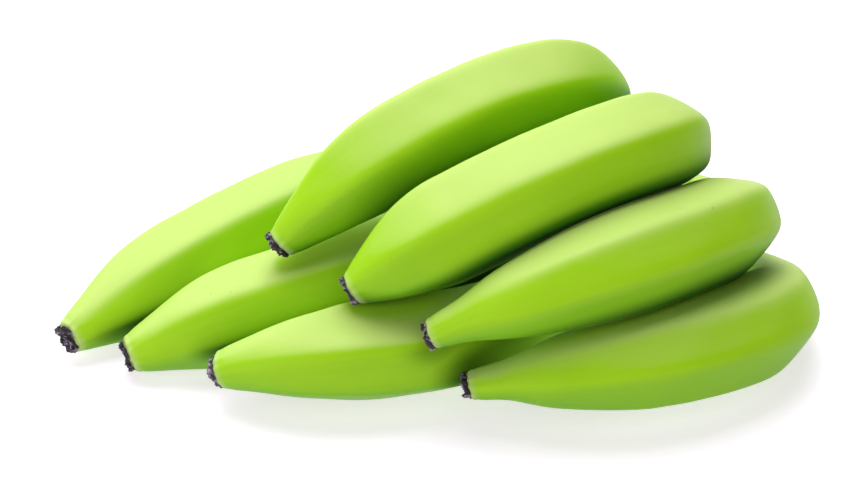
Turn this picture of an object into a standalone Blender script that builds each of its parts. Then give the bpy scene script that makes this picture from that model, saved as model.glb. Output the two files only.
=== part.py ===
"""A bunch of seven green bananas lying on their side, still joined at one crown.

Three bananas lie side by side on the ground, a fourth curls round their right-hand side, and three
more rest on top. Each banana leaves the crown at the back, bends over at its shoulder and comes
forward and to the left to its blossom end. Lengths are in millimetres and are scaled at the end.
"""

import math

import bmesh
import bpy
import numpy as np
from mathutils import Vector

MM = 0.001

# Each banana: root on the crown, shoulder handle, belly handle and blossom end of its midline,
# then half its girth, the length over which it narrows to the blossom end, half the thickness
# of that end, the share by which it is drawn in before it, and the roll of its faces in degrees.
BANANAS = {
    "banana_1": ((45, 117, 13), (3, 110, 44), (-70, 70, 23), (-127, 20, 9), 16.6, 51, 6.3, 0.03, 16),
    "banana_2": ((58, 109, 12), (41, 16, 56), (-30, 33, 30), (-105, 11, 8), 16.6, 47, 6.3, 0.04, 12),
    "banana_3": ((71, 101, 12), (53, -8, 13), (-26, -15, 33), (-72, -6, 14), 17.0, 61, 6.6, 0.04, -11),
    "banana_4": ((84, 93, 14), (143, 67, -9), (145, -27, 47), (12, -20, 18), 16.6, 83, 5.2, 0.12, 21),
    "banana_5": ((42, 127, 30), (91, 69, 72), (39, 50, 127), (-52, 20, 48), 16.9, 50, 6.0, 0.03, -16),
    "banana_6": ((60, 115, 29), (112, 47, 70), (77, 12, 112), (-27, -3, 45), 17.3, 42, 5.8, 0.00, -5),
    "banana_7": ((77, 105, 28), (135, 73, 16), (117, -17, 95), (-1, -19, 38), 16.4, 82, 5.4, 0.12, 15),
}
STALK_RADIUS = 6.0
STALK_LENGTH = 20.0
NECK_LENGTH = 85.0
FLARE = 0.25
FLARE_LENGTH = 12.0
TAPER_POWER = 1.9
WAIST_PLACE = 12.0
WAIST_SPREAD = 9.0
FACE_ANGLES = (-12, 66, 147, 228, 288)
FACE_SHARPNESS = 11.0
SECTIONS = 25
SIDES = 20

BLOSSOM_GAP = 0.3
BLOSSOM_LENGTH = 3.5
BLOSSOM_SIDES = 12

CROWN_FROM = (38, 124, 20.5)
CROWN_TO = (86, 94, 20.5)
CROWN_HALF_HEIGHT = 18.5
CROWN_DEPTH = 20.0
CROWN_FRONT = 8.0
CROWN_SECTIONS = 11
CROWN_SIDES = 20
SOCKET_GAP = 0.6

ORIGIN = (1.6, 53.95, -0.8)


def smooth(x):
    """An even rise from 0 at x = 0 to 1 at x = 1."""
    x = np.clip(x, 0, 1)
    return x * x * (3 - 2 * x)


def midline(root, shoulder, belly, tip, count):
    """Points spaced evenly along the curve from root to tip that the two handles pull."""
    a, b, c, d = (np.array(p, float) for p in (root, shoulder, belly, tip))
    t = np.linspace(0, 1, 400)[:, None]
    fine = (1 - t) ** 3 * a + 3 * (1 - t) ** 2 * t * b + 3 * (1 - t) * t**2 * c + t**3 * d
    run = np.concatenate([[0], np.cumsum(np.linalg.norm(np.diff(fine, axis=0), axis=1))])
    at = np.linspace(0, run[-1], count)
    return np.stack([np.interp(at, run, fine[:, k]) for k in range(3)], 1), run[-1]


def cross_directions(path):
    """Two directions square to the path at each point, carried along it from the tip without twist."""
    tangent = np.gradient(path, axis=0)
    tangent /= np.linalg.norm(tangent, axis=1)[:, None]
    up = np.zeros_like(path)
    current = np.array([0.0, 0.0, 1.0])
    for i in range(len(path) - 1, -1, -1):
        current = current - (current @ tangent[i]) * tangent[i]
        current /= np.linalg.norm(current)
        up[i] = current
    return up, np.cross(tangent, up)


def thickness(s, length, half_girth, taper, end_radius, waist):
    """Radius at distance s from the root: flared stalk, neck, belly, then a taper to the blossom end,
    drawn in a little, by the share waist, just before that end."""
    flare = 1 + FLARE * np.clip(1 - s / FLARE_LENGTH, 0, 1) ** 2
    stalk = STALK_RADIUS * flare
    body = stalk + (half_girth - stalk) * smooth((s - STALK_LENGTH) / NECK_LENGTH)
    narrow = (1 - np.clip((length - s) / taper, 0, 1)) ** TAPER_POWER
    drawn_in = waist * np.exp(-(((length - s - WAIST_PLACE) / WAIST_SPREAD) ** 2))
    return body * (1 - (1 - end_radius / half_girth) * narrow) * (1 - drawn_in)


def five_sided(phi, roll):
    """Distance from the midline round a section with five soft corners, about 1 on average."""
    normals = np.radians(roll + np.array(FACE_ANGLES))
    towards = np.clip(np.cos(phi[:, None] - normals[None]), 0, None)
    rho = (towards**FACE_SHARPNESS).sum(1) ** (-1 / FACE_SHARPNESS)
    return rho / np.sqrt((rho**2).mean())


def banana_rings(banana, sections, sides):
    """Rings of points from the root to the blossom end of one banana."""
    *handles, half_girth, taper, end_radius, waist, roll = banana
    path, length = midline(*handles, sections)
    up, side = cross_directions(path)
    s = np.linspace(0, length, sections)
    radius = thickness(s, length, half_girth, taper, end_radius, waist)
    phi = np.linspace(0, 2 * math.pi, sides, endpoint=False)
    tip_fade = 0.15 + 0.85 * smooth((length - s) / (0.8 * taper))
    root_fade = 0.1 + 0.9 * smooth((s - 25) / 60)
    rho = 1 + (five_sided(phi, roll) - 1)[None] * (tip_fade * root_fade)[:, None]
    reach = (radius[:, None] * rho)[..., None]
    around = np.cos(phi)[None, :, None] * up[:, None] + np.sin(phi)[None, :, None] * side[:, None]
    return path[:, None] + reach * around


def blossom_rings(banana):
    """Rings of the dry flower remains: a short crumbly plug just clear of the blossom end."""
    *handles, _, _, end_radius, _, _ = banana
    path, _ = midline(*handles, 60)
    up, side = cross_directions(path)
    along = path[-1] - path[-2]
    along /= np.linalg.norm(along)
    phi = np.linspace(0, 2 * math.pi, BLOSSOM_SIDES, endpoint=False)
    across = np.cos(phi)[:, None] * up[-1] + np.sin(phi)[:, None] * side[-1]
    lumps = 1 + 0.08 * np.cos(3 * phi) + 0.05 * np.cos(5 * phi + 1)
    rings = []
    for share, width in ((0.0, 0.84), (0.35, 0.97), (0.75, 0.80), (1.0, 0.52)):
        centre = path[-1] + along * (BLOSSOM_GAP + share * BLOSSOM_LENGTH)
        rings.append(centre + across * (end_radius * width * lumps)[:, None])
    return np.array(rings)


def crown_rings():
    """Rings along the crown: a cushion, rounded towards the bananas and cut flat at the back."""
    a, b = np.array(CROWN_FROM, float), np.array(CROWN_TO, float)
    bar = (b - a) / np.linalg.norm(b - a)
    back = np.array([-bar[1], bar[0], 0.0])
    phi = np.linspace(0, 2 * math.pi, CROWN_SIDES, endpoint=False)
    rings = []
    for share in np.linspace(-1, 1, CROWN_SECTIONS):
        swell = (1 - abs(share) ** 3.2) ** 0.5 * 0.62 + 0.38
        up = CROWN_HALF_HEIGHT * swell * np.sign(np.sin(phi)) * np.abs(np.sin(phi)) ** 0.7
        depth = np.cos(phi) * (0.5 + 0.5 * swell)
        out = np.where(depth > 0, CROWN_DEPTH * np.minimum(depth * 1.35, 1.0), CROWN_FRONT * depth)
        centre = (a + b) / 2 + (b - a) / 2 * share
        rings.append(centre + out[:, None] * back + up[:, None] * np.array([0, 0, 1.0]))
    return np.array(rings)


def closed_mesh(name, rings):
    """A mesh object skinned over the rings, with a flat face at each end."""
    count, sides = rings.shape[:2]
    mesh = bpy.data.meshes.new(name)
    points = (rings.reshape(-1, 3) - np.array(ORIGIN)) * MM
    faces = []
    for i in range(count - 1):
        for j in range(sides):
            k = (j + 1) % sides
            faces.append((i * sides + j, i * sides + k, (i + 1) * sides + k, (i + 1) * sides + j))
    faces.append(tuple(range(sides)))
    faces.append(tuple((count - 1) * sides + j for j in range(sides)))
    mesh.from_pydata([Vector(p) for p in points], [], faces)
    shell = bmesh.new()
    shell.from_mesh(mesh)
    bmesh.ops.recalc_face_normals(shell, faces=shell.faces)
    shell.to_mesh(mesh)
    shell.free()
    mesh.shade_smooth()
    mesh.set_sharp_from_angle(angle=math.radians(40))
    return bpy.data.objects.new(name, mesh)


def principled(name, colour, roughness):
    """A plain material of one colour."""
    material = bpy.data.materials.new(name)
    material.use_nodes = True
    shader = material.node_tree.nodes["Principled BSDF"]
    shader.inputs["Base Color"].default_value = (*colour, 1.0)
    shader.inputs["Roughness"].default_value = roughness
    return material


def green_peel():
    return principled("green_peel", (0.28, 0.55, 0.02), 0.4)


def dry_blossom():
    return principled("dry_blossom", (0.012, 0.009, 0.010), 0.9)


def crown_flesh():
    return principled("crown_flesh", (0.30, 0.42, 0.07), 0.6)


def collections():
    """One collection for the bunch and one for the shapes that only cut."""
    bunch = bpy.data.collections.new("banana_bunch")
    cutters = bpy.data.collections.new("cutters")
    bpy.context.scene.collection.children.link(bunch)
    bpy.context.scene.collection.children.link(cutters)
    cutters.hide_render = True
    return bunch, cutters


def socket_cutter(name, banana, cutters):
    """The stalk of one banana, a little thicker and longer, that clears its seat in the crown."""
    *handles, _, _, _, _, _ = banana
    path, length = midline(*handles, 60)
    up, side = cross_directions(path)
    step = length / 59
    keep = int(30 / step)
    radius = thickness(np.arange(keep) * step, length, *banana[4:8]) + SOCKET_GAP
    phi = np.linspace(0, 2 * math.pi, SIDES, endpoint=False)
    around = np.cos(phi)[None, :, None] * up[:keep, None] + np.sin(phi)[None, :, None] * side[:keep, None]
    rings = path[:keep, None] + radius[:, None, None] * around
    along = path[1] - path[0]
    rings[0] -= along / np.linalg.norm(along) * SOCKET_GAP
    cutter = closed_mesh(name, rings)
    cutter.hide_render = True
    cutter.display_type = "WIRE"
    cutters.objects.link(cutter)
    return cutter


def make_crown(bunch, cutters):
    crown = closed_mesh("crown", crown_rings())
    crown.data.materials.append(crown_flesh())
    bunch.objects.link(crown)
    for name, banana in BANANAS.items():
        seat = crown.modifiers.new(f"seat_{name}", "BOOLEAN")
        seat.operation = "DIFFERENCE"
        seat.solver = "EXACT"
        seat.object = socket_cutter(f"socket_{name}", banana, cutters)


def main():
    for obj in list(bpy.data.objects):
        bpy.data.objects.remove(obj)
    bunch, cutters = collections()
    peel, dry = green_peel(), dry_blossom()
    make_crown(bunch, cutters)
    for name, banana in BANANAS.items():
        body = closed_mesh(name, banana_rings(banana, SECTIONS, SIDES))
        body.data.materials.append(peel)
        bunch.objects.link(body)
        plug = closed_mesh(name.replace("banana", "blossom_end"), blossom_rings(banana))
        plug.data.materials.append(dry)
        bunch.objects.link(plug)


main()
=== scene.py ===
"""A bunch of seven green bananas lying on their side on a white surface.

Every banana is one skin carried along its own midline, from the crown to the dry blossom end.
Lengths are in millimetres until a mesh is written.
"""

import math

import bpy
import numpy as np
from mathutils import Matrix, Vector


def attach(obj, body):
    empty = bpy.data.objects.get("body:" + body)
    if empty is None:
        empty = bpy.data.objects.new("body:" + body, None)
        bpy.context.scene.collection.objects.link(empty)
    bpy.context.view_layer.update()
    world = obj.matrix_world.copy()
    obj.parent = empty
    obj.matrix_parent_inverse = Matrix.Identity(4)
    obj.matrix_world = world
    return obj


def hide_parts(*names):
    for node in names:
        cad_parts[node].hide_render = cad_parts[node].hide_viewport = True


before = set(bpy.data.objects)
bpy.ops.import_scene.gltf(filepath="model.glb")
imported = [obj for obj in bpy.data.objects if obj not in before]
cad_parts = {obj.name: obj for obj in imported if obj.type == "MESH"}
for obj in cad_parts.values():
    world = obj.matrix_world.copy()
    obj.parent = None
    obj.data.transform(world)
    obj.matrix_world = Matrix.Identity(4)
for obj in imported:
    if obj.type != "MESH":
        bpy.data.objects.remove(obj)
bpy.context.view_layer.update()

MM = 0.001
ORIGIN = np.array([1.6, 53.95, -0.8])

# Root on the crown, shoulder handle, belly handle and blossom end of each midline, then half the
# thickness, length of the taper, half the thickness of the blossom end, the share by which it is
# drawn in before that end, and the roll of its faces in degrees. A least-squares program worked out
# the handles, blossom ends, half thicknesses and tapers; just over half of them were then changed.
# The roots were chosen one by one.
BANANAS = {
    "banana_1": ((45, 117, 13), (3, 110, 44), (-70, 70, 23), (-127, 20, 9), 16.6, 51, 6.3, 0.03, 16),
    "banana_2": ((58, 109, 12), (41, 16, 56), (-30, 33, 30), (-105, 11, 8), 16.6, 47, 6.3, 0.04, 12),
    "banana_3": ((71, 101, 12), (53, -8, 13), (-26, -15, 33), (-72, -6, 14), 17.0, 61, 6.6, 0.04, -11),
    "banana_4": ((84, 93, 14), (143, 67, -9), (145, -27, 47), (12, -20, 18), 16.6, 83, 5.2, 0.12, 21),
    "banana_5": ((42, 127, 30), (91, 69, 72), (39, 50, 127), (-52, 20, 48), 16.9, 50, 6.0, 0.03, -16),
    "banana_6": ((60, 115, 29), (112, 47, 70), (77, 12, 112), (-27, -3, 45), 17.3, 42, 5.8, 0.00, -5),
    "banana_7": ((77, 105, 28), (135, 73, 16), (117, -17, 95), (-1, -19, 38), 16.4, 82, 5.4, 0.12, 15),
}
STALK_RADIUS = 6.0
STALK_LENGTH = 20.0
NECK_LENGTH = 85.0
FLARE = 0.25
FLARE_LENGTH = 12.0
TAPER_POWER = 1.9
WAIST_PLACE = 12.0
WAIST_SPREAD = 9.0
FACE_ANGLES = (-12, 66, 147, 228, 288)
FACE_SHARPNESS = 11.0
SKIN_SIDES = 140
# The peel lies this far inside the plain solid before its dents: more on the banana that sets the
# height, and less where a banana is pressed.
SKIN_INSET = 0.3
HIGHEST_INSET = 0.7
HIGHEST = "banana_5"
# A face this far from a neighbour counts as not pressed at all.
PRESSED_REACH = 13.0

MIDLINE_STEPS = 1600
RINGS_BEFORE_TIP = 230
RINGS_AT_TIP = 80
TIP_PART = 0.93
TIP_SHARE = 0.84
TIP_ROUNDED_OVER = 6.0
CORNERS_FROM = 25
CORNERS_OVER = 95

# Fibre streaks to a metre across the peel, twice, and along it.
FIBRE_SCALE = (420.0, 420.0, 14.0)

CRUST_SIDES = 150
CRUST_RINGS = 90
CRUST_WIDTH = 0.83
CRUST_SOFTENING = 15

CROWN_FROM = (38, 124, 20.5)
CROWN_TO = (86, 94, 20.5)
CROWN_HALF_HEIGHT = 18.5
CROWN_DEPTH = 20.0
CROWN_FRONT = 8.0
CROWN_SIDES = 160
CROWN_RINGS = 120
CROWN_INSET = 1.8

CAMERA_ELEVATION = 33.0
CAMERA_DISTANCE = 850.0
CAMERA_AIM = (-1.6, -3.95, 30.8)
CAMERA_LENS = 100.0

# Each square soft box: name, place and width in metres, and power in watts. The powers began with a
# least-squares fit and were then changed.
LAMPS = (
    ("top_box", (-0.1, 0.2, 1.2), 0.9, 13.0),
    ("back_box", (0.0, 1.4, 1.0), 1.6, 11.0),
    ("left_back_box", (-1.1, 0.9, 0.9), 1.2, 10.2),
    ("left_front_box", (-0.9, -0.9, 0.6), 0.8, 4.6),
    ("front_box", (0.3, -1.0, 1.0), 0.8, 2.4),
)
LAMP_AIM = (0.0, 0.0, 0.03)
AIR_STRENGTH = 0.05
FLOOR_REACH = 6


# ---------------------------------------------------------------------------- shape helpers


def smooth(x):
    """An even rise from 0 at x = 0 to 1 at x = 1: three x squared less two x cubed."""
    x = np.clip(x, 0, 1)
    return x * x * (3 - 2 * x)


def waves(points, size, seed, octaves=1):
    """Soft lumps about 1 high: cosines of random direction and phase, of wavelength near size."""
    rng = np.random.default_rng(seed)
    total = np.zeros(points.shape[:-1])
    for octave in range(octaves):
        for _ in range(9):
            way = rng.normal(size=3)
            way *= rng.uniform(0.7, 1.4) / (np.linalg.norm(way) * size * 0.5**octave)
            total += np.cos(2 * math.pi * (points @ way + rng.uniform())) * 0.5**octave
    return total / 3.0


def midline(root, shoulder, belly, tip, shares):
    """Points at those shares of the length of the cubic curve that the two handles pull."""
    a, b, c, d = (np.array(p, float) for p in (root, shoulder, belly, tip))
    t = np.linspace(0, 1, MIDLINE_STEPS)[:, None]
    fine = (1 - t) ** 3 * a + 3 * (1 - t) ** 2 * t * b + 3 * (1 - t) * t**2 * c + t**3 * d
    run = np.concatenate([[0], np.cumsum(np.linalg.norm(np.diff(fine, axis=0), axis=1))])
    at = np.asarray(shares) * run[-1]
    return np.stack([np.interp(at, run, fine[:, k]) for k in range(3)], 1), run[-1]


def cross_directions(path):
    """Two directions square to the path at each point, carried along it from the tip without twist."""
    tangent = np.gradient(path, axis=0)
    tangent /= np.linalg.norm(tangent, axis=1)[:, None]
    up = np.zeros_like(path)
    current = np.array([0.0, 0.0, 1.0])
    for i in range(len(path) - 1, -1, -1):
        current = current - (current @ tangent[i]) * tangent[i]
        current /= np.linalg.norm(current)
        up[i] = current
    return up, np.cross(tangent, up)


def thickness(s, length, half_thickness, taper, end_radius, waist):
    """Radius at distance s from the root: flared stalk, neck, belly, then a taper to the blossom end,
    drawn in a little, by the share waist, just before that end."""
    flare = 1 + FLARE * np.clip(1 - s / FLARE_LENGTH, 0, 1) ** 2
    stalk = STALK_RADIUS * flare
    body = stalk + (half_thickness - stalk) * smooth((s - STALK_LENGTH) / NECK_LENGTH)
    narrow = (1 - np.clip((length - s) / taper, 0, 1)) ** TAPER_POWER
    drawn_in = waist * np.exp(-(((length - s - WAIST_PLACE) / WAIST_SPREAD) ** 2))
    return body * (1 - (1 - end_radius / half_thickness) * narrow) * (1 - drawn_in)


def five_sided(phi, roll):
    """Distance from the midline round a section with five soft corners, about 1 on average."""
    normals = np.radians(roll + np.array(FACE_ANGLES))
    towards = np.clip(np.cos(phi[:, None] - normals[None]), 0, None)
    rho = (towards**FACE_SHARPNESS).sum(1) ** (-1 / FACE_SHARPNESS)
    return rho / np.sqrt((rho**2).mean())


def skinned(name, rings, cap_start, cap_end, attributes=None):
    """A closed mesh over the rings, drawn together to a point at each end."""
    count, sides = rings.shape[:2]
    grid = np.arange(count * sides).reshape(count, sides)
    a, b = grid[:-1], np.roll(grid[:-1], -1, 1)
    c, d = np.roll(grid[1:], -1, 1), grid[1:]
    quads = np.stack([a, b, c, d], -1).reshape(-1, 4)
    fans = []
    for edge, centre in ((grid[0][::-1], count * sides), (grid[-1], count * sides + 1)):
        fans.append(np.stack([edge, np.roll(edge, -1), np.full(sides, centre)], 1))
    points = np.concatenate([rings.reshape(-1, 3), np.array([cap_start, cap_end])])
    points = (points - ORIGIN) * MM
    mesh = bpy.data.meshes.new(name)
    mesh.from_pydata(points.tolist(), [], quads.tolist() + np.concatenate(fans).tolist())
    for key, values in (attributes or {}).items():
        wide = values.ndim == 3
        layer = mesh.attributes.new(key, "FLOAT_VECTOR" if wide else "FLOAT", "POINT")
        ends = [values[0].mean(0, keepdims=True), values[-1].mean(0, keepdims=True)]
        flat = np.concatenate([values.reshape(-1, 3) if wide else values.reshape(-1)] + [
            end.reshape(-1, 3) if wide else end.reshape(-1) for end in ends
        ])
        layer.data.foreach_set("vector" if wide else "value", flat.astype(np.float32).reshape(-1))
    mesh.shade_smooth()
    mesh.update()
    if signed_volume(mesh) < 0:
        mesh.flip_normals()
    made = bpy.data.objects.new(name, mesh)
    bpy.context.scene.collection.objects.link(made)
    return made


def signed_volume(mesh):
    """Six times the volume that the faces enclose, negative when they point inwards."""
    points = np.zeros(len(mesh.vertices) * 3)
    mesh.vertices.foreach_get("co", points)
    points = points.reshape(-1, 3)
    mesh.calc_loop_triangles()
    corners = np.zeros(len(mesh.loop_triangles) * 3, np.int32)
    mesh.loop_triangles.foreach_get("vertices", corners)
    a, b, c = (points[corners.reshape(-1, 3)[:, k]] for k in range(3))
    return float((a * np.cross(b, c)).sum())


# ---------------------------------------------------------------------------- pieces


def skin_shares():
    """Shares of the length at which the peel has a ring: wide apart, then close over the last part."""
    before_tip = np.linspace(0, TIP_PART, RINGS_BEFORE_TIP, endpoint=False)
    return np.concatenate([before_tip, np.linspace(TIP_PART, 1, RINGS_AT_TIP)])


def facing_up(rings, around):
    """How far the surface looks up, -1 to 1: the height of the normal, from the rings' two tangents."""
    normal = np.cross(np.gradient(rings, axis=0), np.roll(rings, -1, 1) - np.roll(rings, 1, 1))
    normal /= np.linalg.norm(normal, axis=-1)[..., None] + 1e-9
    return normal[..., 2] * np.sign((normal * around).sum(-1))


def closeness(rings, name):
    """How near the surface is to another banana, 1 where they touch and 0 at PRESSED_REACH, and how
    much it lies under one, 1 where it is close and straight below. The distance is to the round
    body about each neighbour's midline."""
    near, roofed = np.full(rings.shape[:2], np.inf), np.zeros(rings.shape[:2])
    shares = np.linspace(0.05, 0.98, 60)
    for other, (*handles, half_thickness, taper, end_radius, waist, _) in BANANAS.items():
        if other == name:
            continue
        path, length = midline(*handles, shares)
        body = thickness(length * shares, length, half_thickness, taper, end_radius, waist)
        for centre, radius in zip(path, body):
            away = centre - rings
            gap = np.sqrt((away**2).sum(-1)) - radius
            beside = np.sqrt((away[..., :2] ** 2).sum(-1)) / radius
            above = away[..., 2] > 0
            over = above * (1 - smooth((beside - 0.3) / 0.8)) * (1 - smooth(gap / PRESSED_REACH))
            near, roofed = np.minimum(near, gap), np.maximum(roofed, over)
    return 1 - smooth(near / PRESSED_REACH), roofed


def banana_skin(name, banana, seed):
    """The peel: the five-sided section carried along the midline, less soft dents, with faint ribs
    along the stalk and a puckered lip at the blossom end.

    Each point stores its distances to_tip and from_root, how much it is on a ridge, how far it is
    facing_up, how pressed it is by a neighbour and how roofed under one, and shaded, which is
    pressed less what faces up. The place on the peel straightened out carries the patterns."""
    *handles, half_thickness, taper, end_radius, waist, roll = banana
    shares = skin_shares()
    path, length = midline(*handles, shares)
    up, side = cross_directions(path)
    s = length * shares
    to_tip = length - s
    radius = thickness(s, length, half_thickness, taper, end_radius, waist)
    radius = radius - (HIGHEST_INSET if name == HIGHEST else SKIN_INSET)
    phi = np.linspace(0, 2 * math.pi, SKIN_SIDES, endpoint=False)
    rounded = np.sqrt(1 - (1 - np.clip(to_tip / TIP_ROUNDED_OVER, 0, 1)) ** 2)
    radius = radius * (TIP_SHARE + (1 - TIP_SHARE) * rounded)
    tip_fade = 0.15 + 0.85 * smooth(to_tip / (0.8 * taper))
    root_fade = 0.1 + 0.9 * smooth((s - CORNERS_FROM) / CORNERS_OVER)
    faces = five_sided(phi, roll)
    rho = 1 + (faces - 1)[None] * (tip_fade * root_fade)[:, None]
    pucker = 0.030 * np.cos(9 * phi + seed) + 0.020 * np.cos(14 * phi + 2 * seed)
    rho = rho + pucker[None] * np.exp(-to_tip / 2.5)[:, None]
    ribs = 0.020 * np.cos(8 * phi + seed) + 0.012 * np.cos(13 * phi)
    rho = rho + ribs[None] * (1 - smooth((s - 15) / 55))[:, None]
    lip = 0.30 * np.exp(-(((to_tip - 1.3) / 0.9) ** 2)) - 0.5 * np.exp(-to_tip / 0.5)
    reach = radius[:, None] * rho + lip[:, None]
    around = np.cos(phi)[None, :, None] * up[:, None] + np.sin(phi)[None, :, None] * side[:, None]
    rings = path[:, None] + reach[..., None] * around
    pressed, roofed = closeness(rings, name)
    dents = (0.25 + 0.28 * waves(rings, 60.0, seed) + 0.07 * waves(rings, 18.0, seed + 40)).clip(0, None)
    inward = dents * smooth(s / 40)[:, None] * (1 - 0.8 * pressed) - 0.8 * pressed * SKIN_INSET
    rings = rings - around * inward[..., None]
    corner = np.clip((faces - faces.min()) / (faces.max() - faces.min()), 0, 1) ** 3
    ones = np.ones((len(s), SKIN_SIDES))
    straightened = np.stack(
        [
            half_thickness * np.cos(phi)[None] * ones,
            half_thickness * np.sin(phi)[None] * ones,
            s[:, None] * ones + 300.0 * seed,
        ],
        -1,
    )
    up_share = facing_up(rings, around)
    attributes = {
        "to_tip": to_tip[:, None] * ones,
        "from_root": s[:, None] * ones,
        "ridge": corner[None] * (tip_fade * root_fade)[:, None],
        "facing_up": up_share,
        "roofed": roofed,
        "pressed": pressed,
        "shaded": pressed * (1 - 0.88 * smooth((up_share + 0.1) / 0.8)),
        "straightened": straightened * MM,
    }
    skin = skinned(f"{name}_peel", rings, path[0], path[-1], attributes)
    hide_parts(name)
    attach(skin, "root")
    return skin


def knobs(points, size, seed):
    """Rounded lumps parted by sharp creases, 0 to 1: one less the height of folded waves."""
    return 1 - np.clip(np.abs(waves(points, size, seed)) * 1.1, 0, 1)


def blossom_crust(name, banana, seed):
    """The dry flower remains: a knobbly rim over the edge of the peel, sunk in its middle.

    A profile of distance from the midline against height goes from behind the edge, over the rim
    and down to the middle, carried round the end; two sizes of knob push it out."""
    *handles, _, _, end_radius, waist, _ = banana
    path, _ = midline(*handles, np.linspace(0, 1, 400))
    up, side = cross_directions(path)
    along = path[-1] - path[-2]
    along /= np.linalg.norm(along)
    phi = np.linspace(0, 2 * math.pi, CRUST_SIDES, endpoint=False)
    across = np.cos(phi)[:, None] * up[-1] + np.sin(phi)[:, None] * side[-1]
    t = np.linspace(0, 1, CRUST_RINGS)
    stops = (0.0, 0.16, 0.34, 0.52, 0.72, 1.0)
    width = np.interp(t, stops, (0.80, 0.99, 1.00, 0.80, 0.50, 0.02)) * end_radius * CRUST_WIDTH
    height = np.interp(t, stops, (-1.2, -0.9, 0.3, 1.0, 0.3, 0.1))
    soft = np.hanning(CRUST_SOFTENING) / np.hanning(CRUST_SOFTENING).sum()
    width = np.convolve(np.pad(width, CRUST_SOFTENING // 2, mode="edge"), soft, mode="valid")
    height = np.convolve(np.pad(height, CRUST_SOFTENING // 2, mode="edge"), soft, mode="valid")
    ragged = 0.45 * waves(across * end_radius, 7.0, seed + 3)
    lobes = 1 + 0.06 * np.cos(3 * phi + seed) + 0.05 * np.cos(5 * phi + 2 * seed)
    spread = across[None] * (width[:, None] * lobes)[..., None]
    lift = height[:, None] + ragged[None] * smooth(4 * t)[:, None]
    rings = path[-1] + lift[..., None] * along + spread
    big, small = knobs(rings, 4.2, seed), knobs(rings, 1.7, seed + 7)
    crumbs = 0.65 * big + 0.35 * small
    outward = across[None] * (1 - smooth(t * 1.6))[:, None, None] * 0.8 + along * smooth(t * 3)[:, None, None]
    rings = rings + outward * (1.1 * big + 0.45 * small - 0.5)[..., None] * smooth(t * 8)[:, None, None]
    crust = skinned(f"{name}_crust", rings, path[-1] - along * 1.2, rings[-1].mean(0), {"crumb": crumbs})
    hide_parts(name)
    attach(crust, "root")
    return crust


def crown_cushion():
    """The crown: a cushion along its bar, rounded towards the bananas and cut flat behind."""
    a, b = np.array(CROWN_FROM, float), np.array(CROWN_TO, float)
    bar = (b - a) / np.linalg.norm(b - a)
    back = np.array([-bar[1], bar[0], 0.0])
    phi = np.linspace(0, 2 * math.pi, CROWN_SIDES, endpoint=False)
    share = np.sin(np.linspace(-1, 1, CROWN_RINGS) * math.pi / 2)
    swell = (1 - np.abs(share) ** 3.2) ** 0.5 * 0.62 + 0.38
    up = CROWN_HALF_HEIGHT * swell[:, None] * (np.sign(np.sin(phi)) * np.abs(np.sin(phi)) ** 0.7)[None]
    depth = np.cos(phi)[None] * (0.5 + 0.5 * swell[:, None])
    out = np.where(depth > 0, CROWN_DEPTH * np.minimum(depth * 1.35, 1.0), CROWN_FRONT * depth)
    centre = (a + b) / 2 + (b - a)[None] / 2 * share[:, None]
    rings = centre[:, None] + out[..., None] * back + up[..., None] * np.array([0, 0, 1.0])
    lumps = 0.5 * waves(rings, 18.0, 3) + 0.2 * waves(rings, 6.0, 5)
    middle = rings.mean((0, 1))
    away = rings - middle
    away /= np.linalg.norm(away, axis=-1)[..., None]
    rings = rings - away * (CROWN_INSET + lumps).clip(0, None)[..., None]
    cut = smooth((out - 0.9 * CROWN_DEPTH) / (0.1 * CROWN_DEPTH))
    crown = skinned("crown_cushion", rings, rings[0].mean(0), rings[-1].mean(0), {"cut": cut})
    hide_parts("crown")
    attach(crown, "root")
    return crown


# ---------------------------------------------------------------------------- materials


def linear(hex_colour):
    """An sRGB hex colour as linear RGBA."""
    values = [int(hex_colour[i : i + 2], 16) / 255 for i in (1, 3, 5)]
    return (*[v / 12.92 if v <= 0.04045 else ((v + 0.055) / 1.055) ** 2.4 for v in values], 1.0)


def add(tree, kind, inputs=None, **settings):
    """A node of that kind with its settings, each input set to a value or linked from a socket."""
    made = tree.nodes.new(kind)
    for key, value in settings.items():
        setattr(made, key, value)
    for key, value in (inputs or {}).items():
        if isinstance(value, bpy.types.NodeSocket):
            tree.links.new(value, made.inputs[key])
        else:
            made.inputs[key].default_value = value
    return made


def blank(name):
    """An empty material, its node tree and its output."""
    material = bpy.data.materials.new(name)
    material.use_nodes = True
    material.node_tree.nodes.clear()
    return material, material.node_tree, material.node_tree.nodes.new("ShaderNodeOutputMaterial")


def stored(tree, name, output="Fac"):
    """What the mesh stores under that name at each point."""
    return add(tree, "ShaderNodeAttribute", attribute_name=name).outputs[output]


def noise(tree, place, scale, detail):
    """Cloudy noise from 0 to 1, with about scale lumps to each unit of place."""
    made = add(tree, "ShaderNodeTexNoise", {"Vector": place, "Scale": scale, "Detail": detail})
    return made.outputs["Fac"]


def ramp(tree, value, low=0.0, high=1.0, start=0.0, end=1.0):
    """An even change from start, where the value is low, to end, where it is high."""
    return add(tree, "ShaderNodeMapRange", {"Value": value, 1: low, 2: high, 3: start, 4: end}).outputs[0]


def mixed(tree, share, under, over):
    """The colour under with that share of the colour over: each is a hex colour or a socket."""
    under, over = (linear(colour) if isinstance(colour, str) else colour for colour in (under, over))
    return add(tree, "ShaderNodeMix", {0: share, 6: under, 7: over}, data_type="RGBA").outputs[2]


def combined(tree, operation, a, b):
    """Two values added or multiplied."""
    return add(tree, "ShaderNodeMath", {0: a, 1: b}, operation=operation).outputs[0]


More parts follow.
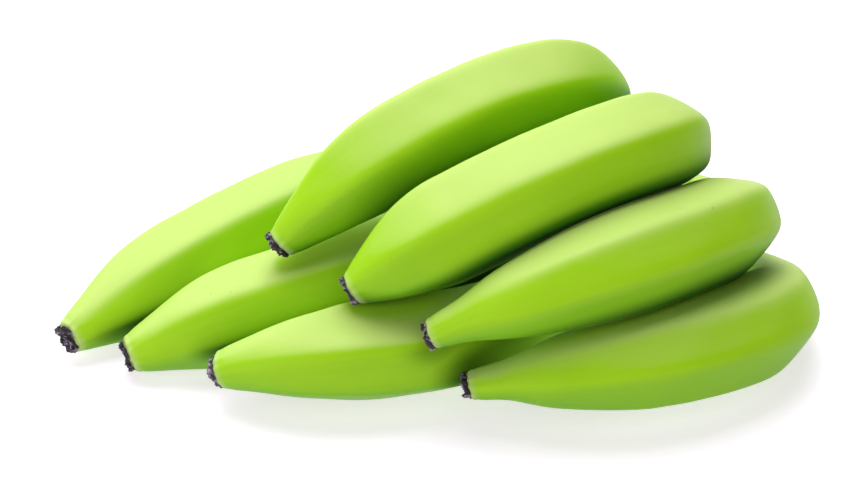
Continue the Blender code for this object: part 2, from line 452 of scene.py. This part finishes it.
def green_banana_peel():
    """Unripe banana peel: chlorophyll-green skin grown under a thin, natural waxy coat. A paler tone
    on top is a painted sheen, and darker green below and between the bananas is painted shade. Fibre
    streaks run along it, and small olive scars lie in patches."""
    material, tree, output = blank("waxy_green_banana_peel")
    place = add(tree, "ShaderNodeTexCoord").outputs["Object"]
    straight = stored(tree, "straightened", "Vector")
    ridge = stored(tree, "ridge")
    to_tip = stored(tree, "to_tip")
    from_root = stored(tree, "from_root")
    up = stored(tree, "facing_up")
    pressed = stored(tree, "pressed")
    roofed = stored(tree, "roofed")
    shaded = stored(tree, "shaded")

    # Broad cloudy tone, then fibre streaks 2 to 3 mm wide and about 70 mm long: real ones are finer.
    cloud = noise(tree, place, 18.0, 3.0)
    share = ramp(tree, cloud, 0.3, 0.7)
    tone = mixed(tree, share, "#97CF0A", "#A6DB16")
    stretched = add(tree, "ShaderNodeMapping", {"Vector": straight, "Scale": FIBRE_SCALE}).outputs[0]
    fibre = noise(tree, stretched, 1.0, 3.0)
    share = ramp(tree, fibre, 0.35, 0.75, end=0.22)
    tone = mixed(tree, share, tone, "#B2DF34")

    # Painted light and shade by how far a face looks up as the bunch lies: painted shade, a deeper
    # green, where it looks down or sideways, and a painted sheen, a whiter pale tone, on top except
    # under a neighbour. On a bunch turned over it would be misplaced.
    share = ramp(tree, up, -0.5, 0.3, 0.75, 0.0)
    tone = mixed(tree, share, tone, "#5C9C04")
    # Painted sheen: the pale tone on faces that look up.
    painted_sheen = ramp(tree, up, 0.60, 0.90, end=0.50)
    sheen_unroofed = ramp(tree, roofed, 0.05, 0.7, 1.0, 0.1)
    share = combined(tree, "MULTIPLY", painted_sheen, sheen_unroofed)
    tone = mixed(tree, share, tone, "#DAE698")

    # Darkest where a neighbour is near and the face looks sideways or down: painted, in place of shade.
    share = ramp(tree, shaded, 0.0, 0.9, end=0.95)
    tone = mixed(tree, share, tone, "#1E5402")

    # Paler along the ridges, towards the stalk and just behind the blossom end.
    share = ramp(tree, ridge, 0.3, 1.0, end=0.16)
    tone = mixed(tree, share, tone, "#CEE65A")
    share = ramp(tree, from_root, 4.0, 42.0, 0.6, 0.0)
    tone = mixed(tree, share, tone, "#A4C548")
    share = ramp(tree, to_tip, 0.5, 3.6, 0.5, 0.0)
    tone = mixed(tree, share, tone, "#CFD6A4")

    # A ragged brown line where the flower dried away, and a few small olive scars.
    ragged = noise(tree, place, 420.0, 3.0)
    torn = ramp(tree, ragged, 0.35, 0.6, 0.3)
    rim = ramp(tree, to_tip, 0.2, 1.3, 1.0, 0.0)
    share = combined(tree, "MULTIPLY", rim, torn)
    tone = mixed(tree, share, tone, "#5A5138")
    pits = add(tree, "ShaderNodeTexVoronoi", {"Vector": straight, "Scale": 130.0}).outputs["Distance"]
    spot = ramp(tree, pits, 0.03, 0.075, 1.0, 0.0)
    patchy = noise(tree, straight, 26.0, 2.0)
    where = ramp(tree, patchy, 0.52, 0.7, end=0.38)
    share = combined(tree, "MULTIPLY", spot, where)
    tone = mixed(tree, share, tone, "#7C8A2A")

    # The grain is about 1.5 mm across, coarser than the pores of a real peel.
    grain = noise(tree, straight, 700.0, 2.0)
    height = combined(tree, "ADD", fibre, grain)
    bump = add(tree, "ShaderNodeBump", {"Height": height, "Strength": 0.10, "Distance": 0.0003}).outputs[0]
    waxy = ramp(tree, cloud, 0.3, 0.7, 0.46, 0.54)
    rubbed = combined(tree, "MULTIPLY", pressed, 0.45)
    rough = combined(tree, "ADD", waxy, rubbed)
    shader = add(
        tree,
        "ShaderNodeBsdfPrincipled",
        {
            "Base Color": tone,
            "Roughness": rough,
            "IOR": 1.45,
            "Specular IOR Level": 0.22,
            "Subsurface Weight": 0.08,
            "Subsurface Radius": (0.6, 1.0, 0.2),
            "Subsurface Scale": 0.002,
            "Normal": bump,
        },
    )
    tree.links.new(shader.outputs[0], output.inputs[0])
    return material


def dried_flower():
    """Dried flower remains: dead petal tissue, shrivelled to near-black knobs. Their lilac-grey
    specks on the knob tops are partly dust and partly a painted highlight.
    """
    material, tree, output = blank("dried_black_flower_remains")
    place = add(tree, "ShaderNodeTexCoord").outputs["Object"]
    crumb = stored(tree, "crumb")
    share = ramp(tree, crumb, 0.2, 0.7)
    tone = mixed(tree, share, "#0A070A", "#2A2028")
    # Lilac-grey specks on the knob tops: partly dust, partly a painted highlight.
    dust = noise(tree, place, 700.0, 4.0)
    dust_and_highlight_specks = ramp(tree, dust, 0.42, 0.62)
    high = ramp(tree, crumb, 0.56, 0.86)
    share = combined(tree, "MULTIPLY", high, dust_and_highlight_specks)
    tone = mixed(tree, share, tone, "#A59AAE")
    bump = add(tree, "ShaderNodeBump", {"Height": dust, "Strength": 0.7, "Distance": 0.0004}).outputs[0]
    rough = ramp(tree, dust, 0.3, 0.7, 0.5, 0.85)
    shader = add(tree, "ShaderNodeBsdfPrincipled", {"Base Color": tone, "Roughness": rough, "Normal": bump})
    tree.links.new(shader.outputs[0], output.inputs[0])
    return material


def cut_crown():
    """Stem tissue of the crown: fibrous and yellow-green, its knife cut dried tan with dark strands."""
    material, tree, output = blank("fibrous_cut_crown")
    place = add(tree, "ShaderNodeTexCoord").outputs["Object"]
    cut = stored(tree, "cut")
    cloud = noise(tree, place, 70.0, 5.0)
    share = ramp(tree, cloud, 0.35, 0.65)
    green = mixed(tree, share, "#86A83A", "#AFC560")
    tan = mixed(tree, share, "#9C8350", "#D0BF8C")

    # The strands that fed each banana show as dark dots about 2 mm apart on the cut.
    strands = add(tree, "ShaderNodeTexVoronoi", {"Vector": place, "Scale": 520.0}).outputs["Distance"]
    share = ramp(tree, strands, 0.10, 0.26, 0.65, 0.0)
    tan = mixed(tree, share, tan, "#4E3A20")
    share = ramp(tree, cut, 0.3, 0.7)
    tone = mixed(tree, share, green, tan)

    # The rim of the cut has dried darkest.
    outside = ramp(tree, cut, 0.05, 0.45)
    inside = ramp(tree, cut, 0.5, 0.9, 1.0, 0.0)
    share = combined(tree, "MULTIPLY", outside, inside)
    tone = mixed(tree, share, tone, "#3E2F1C")

    fibre = noise(tree, place, 380.0, 3.0)
    height = combined(tree, "ADD", fibre, strands)
    bump = add(tree, "ShaderNodeBump", {"Height": height, "Strength": 0.5, "Distance": 0.0006}).outputs[0]
    rough = ramp(tree, cut, start=0.5, end=0.8)
    shader = add(tree, "ShaderNodeBsdfPrincipled", {"Base Color": tone, "Roughness": rough, "Normal": bump})
    tree.links.new(shader.outputs[0], output.inputs[0])
    return material


def white_sweep():
    """Opal acrylic board, lit faintly from below: matt white."""
    material, tree, output = blank("matt_opal_board")
    place = add(tree, "ShaderNodeTexCoord").outputs["Object"]
    cloud = add(tree, "ShaderNodeTexNoise", {"Vector": place, "Scale": 8.0}).outputs["Fac"]
    tone = mixed(tree, cloud, "#D8D0DC", "#DCD4E0")
    shader = add(
        tree,
        "ShaderNodeBsdfPrincipled",
        {
            "Base Color": tone,
            "Roughness": 0.9,
            "Specular IOR Level": 0.1,
            "Emission Color": (1.0, 0.94, 1.0, 1.0),
            "Emission Strength": 0.62,
        },
    )
    tree.links.new(shader.outputs[0], output.inputs[0])
    return material


# ---------------------------------------------------------------------------- studio


def studio_floor():
    """One flat square, wide enough to fill the view."""
    mesh = bpy.data.meshes.new("studio_floor")
    corners = [(x * FLOOR_REACH, y * FLOOR_REACH, 0) for x, y in ((-1, -1), (1, -1), (1, 1), (-1, 1))]
    mesh.from_pydata(corners, [], [(0, 1, 2, 3)])
    floor = bpy.data.objects.new("studio_floor", mesh)
    bpy.context.scene.collection.objects.link(floor)
    mesh.materials.append(white_sweep())


def lamp(name, place, size, watts):
    """A square soft box at place, facing the bunch."""
    light = bpy.data.lights.new(name, "AREA")
    light.size = size
    light.energy = watts
    made = bpy.data.objects.new(name, light)
    made.location = place
    made.rotation_euler = (Vector(LAMP_AIM) - Vector(place)).to_track_quat("-Z", "Y").to_euler()
    made.visible_camera = False
    bpy.context.scene.collection.objects.link(made)


def studio_light():
    """Even pale air and the soft boxes."""
    world = bpy.data.worlds.new("studio_air")
    bpy.context.scene.world = world
    world.use_nodes = True
    world.node_tree.nodes["Background"].inputs[0].default_value = (1.0, 1.0, 1.0, 1.0)
    world.node_tree.nodes["Background"].inputs[1].default_value = AIR_STRENGTH
    for name, place, size, watts in LAMPS:
        lamp(name, place, size, watts)
    bpy.context.scene.view_settings.view_transform = "Standard"


def camera():
    """A long lens at the height and distance that the bunch is seen from."""
    data = bpy.data.cameras.new("camera")
    data.lens = CAMERA_LENS
    data.sensor_width = 36.0
    made = bpy.data.objects.new("camera", data)
    tilt = math.radians(CAMERA_ELEVATION)
    aim = Vector(CAMERA_AIM) * MM
    back = Vector((0, -math.cos(tilt), math.sin(tilt)))
    made.location = aim + back * CAMERA_DISTANCE * MM
    made.rotation_euler = (-back).to_track_quat("-Z", "Y").to_euler()
    bpy.context.scene.collection.objects.link(made)
    bpy.context.scene.camera = made


def main():
    camera()
    peel, crust, crown = green_banana_peel(), dried_flower(), cut_crown()
    for number, (name, banana) in enumerate(BANANAS.items(), 1):
        banana_skin(name, banana, number).data.materials.append(peel)
        blossom = name.replace("banana", "blossom_end")
        blossom_crust(blossom, banana, number).data.materials.append(crust)
    crown_cushion().data.materials.append(crown)
    studio_floor()
    studio_light()


main()
